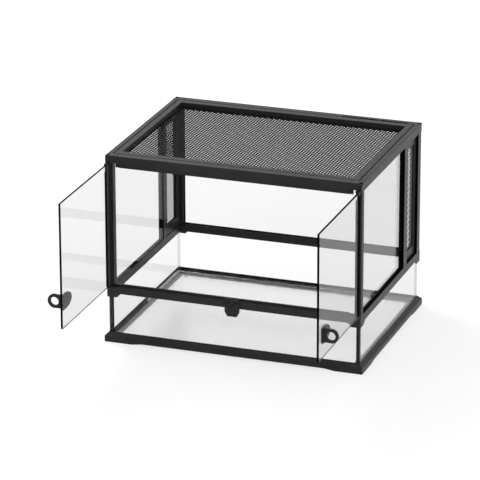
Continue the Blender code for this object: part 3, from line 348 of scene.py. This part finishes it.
def sealant(name):
    """Silicone with a smooth tooled skin: black at the tray's front, clear at its back."""
    n = Look(name)
    rear = n.calc("GREATER_THAN", n.axes("Object")[1], TANK_MIDDLE_Y * MM)
    black = n.blend(n.noise(scale=40.0, detail=2.0), grey(6), grey(12))
    n.feed(n.blend(rear, black, grey(235)), "Base Color")
    n.feed(n.span(rear, low=0.0, high=1.0, start=0.0, stop=1.0), "Transmission Weight")
    n.feed(n.span(n.noise(scale=120.0, detail=2.0), low=0.28, high=0.42), "Roughness")
    n.bump(n.noise(scale=260.0, detail=2.0), strength=0.25, distance=0.0002)
    n.set(IOR=SEALANT_IOR)
    return n.material


def rubber(name):
    """Matt black rubber; most pieces made of it are painted shade in recesses, pockets, joints and slots.
    """
    n = Look(name)
    n.feed(n.blend(n.noise(scale=50.0, detail=2.0), grey(8), grey(14)), "Base Color")
    n.feed(n.span(n.noise(scale=200.0, detail=2.0), low=0.85, high=1.0), "Roughness")
    n.bump(n.noise(scale=1500.0, detail=2.0), strength=0.2, distance=0.00005)
    n.set(IOR=RUBBER_IOR)
    return n.material


def coated_steel(name, inside, ior, lit_side_colours=None):
    """Thin steel sheet with a dark coating; the side that looks outward may take a lighter colour, painted
    light.
    """
    n = Look(name)
    flecks = n.noise(scale=90.0, detail=2.0)
    colour = n.blend(flecks, *inside)
    if lit_side_colours:
        # Painted light: the side that looks outward takes a lighter colour
        outward = n.calc("MULTIPLY", n.axes("Object")[0], n.axes("Normal")[0])
        colour = n.blend(n.calc("GREATER_THAN", outward, 0.0), colour, n.blend(flecks, *lit_side_colours))
    n.feed(colour, "Base Color")
    n.feed(n.span(n.noise(scale=300.0, detail=3.0), low=0.6, high=0.75), "Roughness")
    n.bump(n.noise(scale=1800.0, detail=2.0), strength=0.2, distance=0.00005)
    n.set(IOR=ior)
    return n.material


def bright_steel(name):
    """Drawn steel pin."""
    n = Look(name)
    drawn = (1, 1, 0.05)
    n.feed(n.blend(n.noise(scale=500.0, detail=2.0, stretch=drawn), grey(150), grey(176)), "Base Color")
    n.feed(n.span(n.noise(scale=900.0, detail=2.0, stretch=drawn), low=0.25, high=0.4), "Roughness")
    n.set(Metallic=1.0)
    return n.material


def make_looks():
    """Every finish by its short name."""
    return {
        "frame": moulded_plastic("frame_black", grey(44), grey(50)),
        "glass": clear_glass("clear_glass", CLEAR_TINT),
        # The rear, side, tray and door tints are darker copies of the clear tint, painted shade
        "rear_glass": clear_glass("rear_glass", REAR_SHADED_TINT),
        "side_glass": clear_glass("side_glass", SIDE_SHADED_TINT),
        "tray_glass": clear_glass("tray_glass", TRAY_SHADED_TINT),
        "door_glass": door_glass("door_glass", grey(12), grey(200)),
        "floor_glass": speckled_glass("floor_glass"),
        "sealant": sealant("sealant_black"),
        "rubber": rubber("rubber_black"),
        "screen": coated_steel("screen_black", (grey(14), grey(22)), LID_STEEL_IOR),
        # The vents' outward side is lighter, painted light
        "vent_screen": coated_steel("vent_screen", (grey(20), grey(30)), VENT_STEEL_IOR,
                                    (grey(128), grey(142))),
        "pin": bright_steel("pin_steel"),
    }


def give(obj, material):
    """Makes a material the only one of an object."""
    obj.data.materials.clear()
    obj.data.materials.append(material)


def look_of(name):
    """The short name of the finish that a CAD node takes."""
    if name in LOOK_OF_NODE:
        return LOOK_OF_NODE[name]
    for ending, look in LOOK_OF_ENDING:
        if name.endswith(ending):
            return look
    return "frame"


def made_object(name, bm, material, place=None):
    """An object from a finished mesh, moved by a matrix if there is one."""
    bmesh.ops.recalc_face_normals(bm, faces=bm.faces)
    mesh = bpy.data.meshes.new(name)
    bm.to_mesh(mesh)
    bm.free()
    if place is not None:
        mesh.transform(place)
    obj = bpy.data.objects.new(name, mesh)
    bpy.context.scene.collection.objects.link(obj)
    give(obj, material)
    return obj


def piece(name, bm, material, body):
    """Finishes a mesh as a piece of the model that rides on a body."""
    obj = made_object(name, bm, material)
    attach(obj, body)
    return obj


def block(bm, spans, round_off, side=1, end=1):
    """A block with rounded edges, mirrored to the left by side=-1 and to the front by end=-1."""
    across, along, up = spans
    x = sorted(side * v for v in across)
    y = sorted(TANK_MIDDLE_Y + end * v for v in along)
    low = (x[0], y[0], up[0])
    high = (x[1], y[1], up[1])
    made = bmesh.ops.create_cube(bm, size=1.0)["verts"]
    bmesh.ops.scale(bm, vec=[(h - l) * MM for l, h in zip(low, high)], verts=made)
    bmesh.ops.translate(bm, vec=[(h + l) / 2 * MM for l, h in zip(low, high)], verts=made)
    edges = {e for v in made for e in v.link_edges}
    bmesh.ops.bevel(bm, geom=list(edges), offset=round_off * MM, segments=2, profile=0.5, affect="EDGES")


def strip(bm, start, end, across, out, width, thick):
    """A flat black strip with rounded shoulders, from start to end, for painted shade."""
    across = Vector(across)
    out = Vector(out)
    rings = []
    for place in (Vector(start), Vector(end)):
        ring = [place + across * (a * width) + out * (b * thick) for a, b in STRIP_PROFILE]
        rings.append([bm.verts.new(point * MM) for point in ring])
    first, last = rings
    count = len(STRIP_PROFILE)
    for i in range(count):
        j = (i + 1) % count
        bm.faces.new((first[i], first[j], last[j], last[i]))
    bm.faces.new(first)
    bm.faces.new(last)


def bay(bm, low, high, plane, along_y):
    """Strips on the four faces round one window of the frame.

    low and high are the window's ends along its wall, and plane is the middle of the strips across it.
    """
    def spot(along, z):
        return (plane, along, z) if along_y else (along, plane, z)

    across = (1, 0, 0) if along_y else (0, 1, 0)
    run = (0, 1, 0) if along_y else (1, 0, 0)
    back = tuple(-c for c in run)
    for z, out in ((WAIST_TOP, (0, 0, 1)), (RAIL_BOTTOM, (0, 0, -1))):
        strip(bm, spot(low, z), spot(high, z), across, out, SHADE_STRIP_W, SHADE_STRIP_T)
    for along, out in ((low, run), (high, back)):
        strip(bm, spot(along, WAIST_TOP), spot(along, RAIL_BOTTOM), across, out, SHADE_STRIP_W, SHADE_STRIP_T)


def add_recess_shade_strips(material):
    """Black rubber strips of painted shade round every upper pane and vent, in the frame's recess on the
    outer side of the glass.
    """
    y0 = TANK_MIDDLE_Y
    for side, word in SIDES:
        bm = bmesh.new()
        for low, high in (SIDE_BAY, VENT_BAY):
            bay(bm, y0 + low, y0 + high, side * SHADE_STRIP_X, along_y=True)
        piece(f"{word}_pane_shade_strip", bm, material, "tank")
    bm = bmesh.new()
    bay(bm, -REAR_BAY, REAR_BAY, y0 + SHADE_STRIP_Y, along_y=False)
    piece("rear_pane_shade_strip", bm, material, "tank")


def add_lid_joint_shade(material):
    """A thin black rubber strip in the joint between the lid and the top frame, painted shade."""
    front = TANK_MIDDLE_Y - JOINT_SHADE_Y
    rear = TANK_MIDDLE_Y + JOINT_SHADE_Y
    up = (0, 0, 1)
    bm = bmesh.new()
    for x, y in ((-JOINT_SHADE_X, front), (JOINT_SHADE_X, rear)):
        strip(bm, (-JOINT_SHADE_X, y, JOINT_SHADE_Z), (JOINT_SHADE_X, y, JOINT_SHADE_Z), (0, 1, 0), up, JOINT_SHADE_W, JOINT_SHADE_T)
        strip(bm, (x, front, JOINT_SHADE_Z), (x, rear, JOINT_SHADE_Z), (1, 0, 0), up, JOINT_SHADE_W, JOINT_SHADE_T)
    piece("lid_joint_shade", bm, material, "lid")


def add_slot_shades(material):
    """Black linings on the walls of the two cable slots in the rear top rail, painted shade."""
    front = TANK_MIDDLE_Y + SLOT_Y - SLOT_W / 2
    rear = TANK_MIDDLE_Y + SLOT_Y + SLOT_W / 2
    z = (SLOT_SHADE_LOW + SLOT_SHADE_HIGH) / 2
    tall = SLOT_SHADE_HIGH - SLOT_SHADE_LOW
    up = (0, 0, 1)
    for word, low, high in SLOTS:
        bm = bmesh.new()
        strip(bm, (low, rear, z), (high, rear, z), up, (0, -1, 0), tall, SLOT_SHADE_T)
        strip(bm, (low, front, z), (high, front, z), up, (0, 1, 0), tall, SLOT_SHADE_T)
        strip(bm, (low, front, z), (low, rear, z), up, (1, 0, 0), tall, SLOT_SHADE_T)
        strip(bm, (high, front, z), (high, rear, z), up, (-1, 0, 0), tall, SLOT_SHADE_T)
        piece(f"{word}_slot_shade", bm, material, "tank")


def add_pocket_shade(material):
    """Black rubber pads in the stacking pockets and in the lid's notches, painted shade."""
    top = bmesh.new()
    lid = bmesh.new()
    for side in (-1, 1):
        for end in (-1, 1):
            block(top, STACKING_POCKET_SHADE, POCKET_SHADE_ROUND, side, end)
            block(lid, LID_NOTCH_SHADE, POCKET_SHADE_ROUND, side, end)
    piece("stacking_pocket_shade", top, material, "tank")
    piece("lid_notch_shade", lid, material, "lid")


def add_stop_ends(material):
    """The ends of the top rail's door stop, behind the hinge strips."""
    for side, word in SIDES:
        bm = bmesh.new()
        block(bm, STOP_END, STOP_ROUND, side)
        piece(f"{word}_stop_end", bm, material, "tank")


def plate_ring(bm, x, ys, zs):
    """Four corners of a rectangle in the plane at x."""
    corners = ((ys[0], zs[0]), (ys[1], zs[0]), (ys[1], zs[1]), (ys[0], zs[1]))
    return [bm.verts.new((x * MM, (TANK_MIDDLE_Y + y) * MM, z * MM)) for y, z in corners]


def add_vent_plates(material):
    """The raised outer plate of each side vent, round the window of its frame."""
    for side, word in SIDES:
        inner, outer = (side * x for x in PLATE_X)
        bm = bmesh.new()
        rings = (plate_ring(bm, inner, PLATE_Y, PLATE_Z), plate_ring(bm, outer, PLATE_Y, PLATE_Z),
                 plate_ring(bm, outer, PLATE_WINDOW_Y, PLATE_WINDOW_Z),
                 plate_ring(bm, inner, PLATE_WINDOW_Y, PLATE_WINDOW_Z))
        for i, first in enumerate(rings):
            second = rings[(i + 1) % 4]
            for k in range(4):
                j = (k + 1) % 4
                bm.faces.new((first[k], first[j], second[j], second[k]))
        sharp = [e for e in bm.edges if e.calc_face_angle() > SHARP_ANGLE]
        bmesh.ops.bevel(bm, geom=sharp, offset=PLATE_ROUND * MM, segments=2, profile=0.5, affect="EDGES")
        piece(f"{word}_vent_plate", bm, material, "tank")


def add_door_bands(material):
    """The hinge strips' tape on the inner face of the door glass, and the seal on their outer side."""
    for side, word in SIDES:
        bm = bmesh.new()
        block(bm, INNER_TAPE, TAPE_ROUND, side)
        block(bm, OUTER_SEAL, TAPE_ROUND, side)
        piece(f"{word}_inner_band", bm, material, f"{word}_door")


def in_slot(place):
    """Whether a point is on the rim of a cable slot, whose edges stay sharp."""
    along = place.x / MM
    off = abs(place.y / MM - TANK_MIDDLE_Y - SLOT_Y)
    beside = any(low - SLOT_NEAR < along < high + SLOT_NEAR for _, low, high in SLOTS)
    return off < SLOT_W / 2 + SLOT_NEAR and beside


def soften(nodes, name, body, material):
    """Puts a copy of a moulded node whose long top edges are rounded in the node's place."""
    bm = bmesh.new()
    bm.from_mesh(nodes[name].data)
    bmesh.ops.remove_doubles(bm, verts=bm.verts, dist=WELD)
    bmesh.ops.dissolve_limit(bm, angle_limit=FLAT_ANGLE, verts=bm.verts, edges=bm.edges)
    top = max(v.co.z for v in bm.verts)
    picked = []
    for e in bm.edges:
        high = all(v.co.z > top - WELD for v in e.verts)
        if not high or len(e.link_faces) != 2 or all(in_slot(v.co) for v in e.verts):
            continue
        if e.calc_face_angle() > SHARP_ANGLE and e.calc_length() > SHORT_EDGE * MM:
            picked.append(e)
    bmesh.ops.bevel(bm, geom=picked, offset=EDGE_ROUND * MM, segments=3, profile=0.5, affect="EDGES",
                    clamp_overlap=True)
    obj = piece(f"{name}_soft", bm, material, body)
    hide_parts(name)


def hole_outline(scale):
    """A six-sided hole of the screen about its middle, x along the long pitch."""
    a = HOLE_PITCH_LONG / 2
    b = HOLE_PITCH_SHORT / 2
    near = (a * a + b * b) / 2
    tip = near / a
    shoulder = (near - b * b) / a
    points = [(tip, 0), (shoulder, b), (-shoulder, b), (-tip, 0), (-shoulder, -b), (shoulder, -b)]
    return [(x * scale, y * scale) for x, y in points]


def cell_middles(low, high, phase):
    """The middles of the holes that lie on or near a rectangle."""
    a = HOLE_PITCH_LONG / 2
    b = HOLE_PITCH_SHORT / 2
    columns = int((high[0] - low[0]) / a) + 4
    rows = int((high[1] - low[1]) / b) + 4
    first_x = math.floor((low[0] - phase[0]) / a) - 1
    first_y = math.floor((low[1] - phase[1]) / b) - 1
    for i in range(first_x, first_x + columns):
        for j in range(first_y, first_y + rows):
            if (i + j) % 2 == 0:
                yield phase[0] + i * a, phase[1] + j * b


def perforated(low, high, phase, strand):
    """A flat sheet of hexagonal cells with holes, clipped to a rectangle."""
    bm = bmesh.new()
    outer = hole_outline(1.0)
    inner = hole_outline(1.0 - strand / HOLE_PITCH_SHORT)
    found = {}

    def point(x, y):
        x = min(max(x, low[0]), high[0])
        y = min(max(y, low[1]), high[1])
        key = (round(x, 2), round(y, 2))
        if key not in found:
            found[key] = bm.verts.new((x * MM, y * MM, 0))
        return found[key]

    for cx, cy in cell_middles(low, high, phase):
        ring = [point(cx + x, cy + y) for x, y in outer]
        hole = [point(cx + x, cy + y) for x, y in inner]
        for k in range(6):
            j = (k + 1) % 6
            corners = list(dict.fromkeys([ring[k], ring[j], hole[j], hole[k]]))
            if len(corners) > 2 and not bm.faces.get(corners):
                bm.faces.new(corners)
    specks = [f for f in bm.faces if f.calc_area() < SMALLEST_FACE]
    bmesh.ops.delete(bm, geom=specks, context="FACES")
    return bm


def screen(name, low, high, holes, place, material):
    """A perforated sheet of real thickness, moved to its place."""
    bm = perforated(low, high, holes["phase"], holes["strand"])
    obj = made_object(name, bm, material, place)
    sheet = obj.modifiers.new("thickness", "SOLIDIFY")
    sheet.thickness = holes["thick"] * MM
    sheet.offset = 0.0
    return obj


def add_screens(looks):
    """The lid's screen and the two vents' screens take the place of the coarse nets."""
    low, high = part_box("lid_mesh")
    lift = Matrix.Translation((0, TANK_MIDDLE_Y * MM, (low.z + high.z) / 2))
    start = (low.x / MM, low.y / MM - TANK_MIDDLE_Y)
    stop = (high.x / MM, high.y / MM - TANK_MIDDLE_Y)
    lid = screen("lid_screen", start, stop, LID_HOLES, lift, looks["screen"])
    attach(lid, "lid")
    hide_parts("lid_mesh")
    for side in ("left", "right"):
        low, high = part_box(f"vent_{side}_mesh")
        turn = Matrix(((0, 0, 1, (low.x + high.x) / 2), (0, 1, 0, 0), (1, 0, 0, 0), (0, 0, 0, 1)))
        start = (low.z / MM, low.y / MM)
        stop = (high.z / MM, high.y / MM)
        vent = screen(f"vent_{side}_screen", start, stop, VENT_HOLES, turn, looks["vent_screen"])
        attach(vent, "tank")
        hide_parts(f"vent_{side}_mesh")


def add_camera():
    """A camera at the photograph's viewing angle."""
    a = math.radians(AZIMUTH)
    e = math.radians(ELEVATION)
    r = math.radians(ROLL)
    back = Vector((math.sin(a) * math.cos(e), -math.cos(a) * math.cos(e), math.sin(e)))
    right = Vector((0, 0, 1)).cross(back).normalized()
    up = back.cross(right)
    across = right * math.cos(r) + up * math.sin(r)
    upright = up * math.cos(r) - right * math.sin(r)
    data = bpy.data.cameras.new("camera")
    data.lens = LENS
    data.sensor_width = SENSOR
    data.clip_end = REACH
    camera = bpy.data.objects.new("camera", data)
    bpy.context.scene.collection.objects.link(camera)
    turn = Matrix((across, upright, back)).transposed().to_4x4()
    camera.matrix_world = Matrix.Translation(Vector(TARGET) + back * DISTANCE) @ turn
    bpy.context.scene.camera = camera


def add_world():
    """White to the camera, in gloss and through glass; softer as light."""
    world = bpy.data.worlds.new("studio")
    bpy.context.scene.world = world
    world.use_nodes = True
    n = Nodes(world.node_tree)
    n.tree.nodes.clear()
    light = n.add("ShaderNodeBackground", Color=WHITE, Strength=AMBIENT)
    plain = n.add("ShaderNodeBackground", Color=WHITE)
    mix = n.add("ShaderNodeMixShader")
    out = n.add("ShaderNodeOutputWorld")
    n.link(n.seen(), mix.inputs[0])
    n.link(light.outputs[0], mix.inputs[1])
    n.link(plain.outputs[0], mix.inputs[2])
    n.link(mix.outputs[0], out.inputs["Surface"])


def add_lamp():
    """One large soft lamp behind the tank's left shoulder."""
    data = bpy.data.lights.new("key", "AREA")
    data.shape = "DISK"
    data.size = LAMP_SIZE
    data.energy = LAMP_POWER
    lamp = bpy.data.objects.new("key", data)
    bpy.context.scene.collection.objects.link(lamp)
    lamp.location = LAMP_PLACE
    aim = Vector(LAMP_AIM) - Vector(LAMP_PLACE)
    lamp.rotation_euler = aim.to_track_quat("-Z", "Y").to_euler()


def painted_light_under_tank(n):
    """One on the patch of floor that is seen through the tray's floor pane, where the floor glows brighter
    as painted light in the tank's shadow, nought elsewhere.
    """
    x, y, _ = n.axes("Object")
    wide = n.calc("COMPARE", x, 0.0, PAINTED_LIGHT_HALF[0] * MM)
    deep = n.calc("COMPARE", y, TANK_MIDDLE_Y * MM, PAINTED_LIGHT_HALF[1] * MM)
    return n.calc("MULTIPLY", wide, deep)


def add_floor():
    """A pale floor that keeps the object's shadow and clears to white round it; under the tank a patch
    glows as painted light.
    """
    n = Look("floor_pale")
    seen = n.seen()
    pale = n.blend(n.noise(scale=2.0, detail=2.0), grey(243), grey(246))
    n.feed(n.blend(seen, pale, FLOOR_SEEN), "Base Color")
    n.feed(n.span(n.noise(scale=80.0, detail=2.0), low=0.75, high=0.85), "Roughness")
    # Painted light: the patch under the tank glows brighter than the rest of the floor
    glow = n.calc("MULTIPLY_ADD", painted_light_under_tank(n), PAINTED_LIGHT_GLOW, FLOOR_GLOW)
    n.feed(n.calc("MULTIPLY", seen, glow), "Emission Strength")
    n.set(Specular_IOR_Level=0.0, Emission_Color=WHITE)
    bpy.ops.mesh.primitive_plane_add(size=FLOOR_SIZE, location=(0, 0, -FLOOR_DROP))
    floor = bpy.context.object
    floor.name = "floor"
    give(floor, n.material)


def main():
    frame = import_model()
    nodes = frame["nodes"]
    looks = make_looks()
    for name, obj in nodes.items():
        give(obj, looks[look_of(name)])
    add_screens(looks)
    # The black rubber pieces added next are painted shade in the recesses, pockets, lid joint and slots
    add_recess_shade_strips(looks["rubber"])
    add_pocket_shade(looks["rubber"])
    add_lid_joint_shade(looks["rubber"])
    add_slot_shades(looks["rubber"])
    add_stop_ends(looks["frame"])
    add_vent_plates(looks["frame"])
    add_door_bands(looks["rubber"])
    for name in TOP_NODES:
        soften(nodes, name, "tank", looks["frame"])
    soften(nodes, "lid_frame", "lid", looks["frame"])
    add_camera()
    add_world()
    add_lamp()
    add_floor()
    bpy.context.scene.view_settings.view_transform = "Standard"


main()
